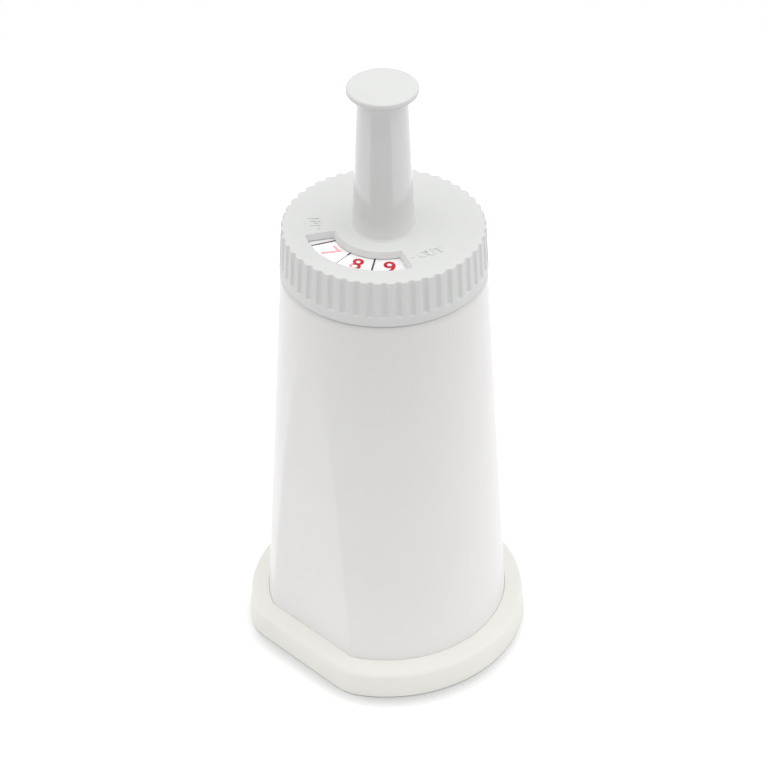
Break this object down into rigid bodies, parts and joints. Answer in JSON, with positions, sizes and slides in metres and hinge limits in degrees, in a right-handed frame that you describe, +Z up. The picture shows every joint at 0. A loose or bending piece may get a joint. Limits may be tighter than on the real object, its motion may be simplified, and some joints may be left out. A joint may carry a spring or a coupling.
{
  "type": "water filter cartridge",
  "caption": "Tapered white water filter cartridge for a coffee machine's tank, with a D-shaped foot, a grooved month dial with a window and a pull stem.",
  "frame": {"origin": "on the dial's axis, in the plane that the foot stands on", "axes": "+Z up along the dial's axis, the flat of the foot and the housing faces -Y"},
  "size_m": [0.056, 0.0528, 0.1244],
  "materials": {
    "housing_white": "gloss",
    "foot_seal": "satin",
    "dial_grey": "satin",
    "label_white": "gloss",
    "inner_plastic": "matte",
    "seal_rubber": "matte",
    "fleece": "matte",
    "granules": "matte"
  },
  "bodies": {
    "cartridge": {"housing": "housing_white", "base_seal": "foot_seal", "bottom_cover": "inner_plastic", "outlet_seal": "seal_rubber", "centre_tube": "inner_plastic", "lower_fleece": "fleece", "filter_bed": "granules", "upper_fleece": "fleece", "month_label": "label_white"},
    "dial": {"dial_cap": "dial_grey"}
  },
  "joints": [
    {"name": "dial_turn", "type": "hinge", "parent": "cartridge", "child": "dial", "pos_m": [0, 0, 0.0934], "axis": [0, 0, 1], "continuous": true}
  ]
}
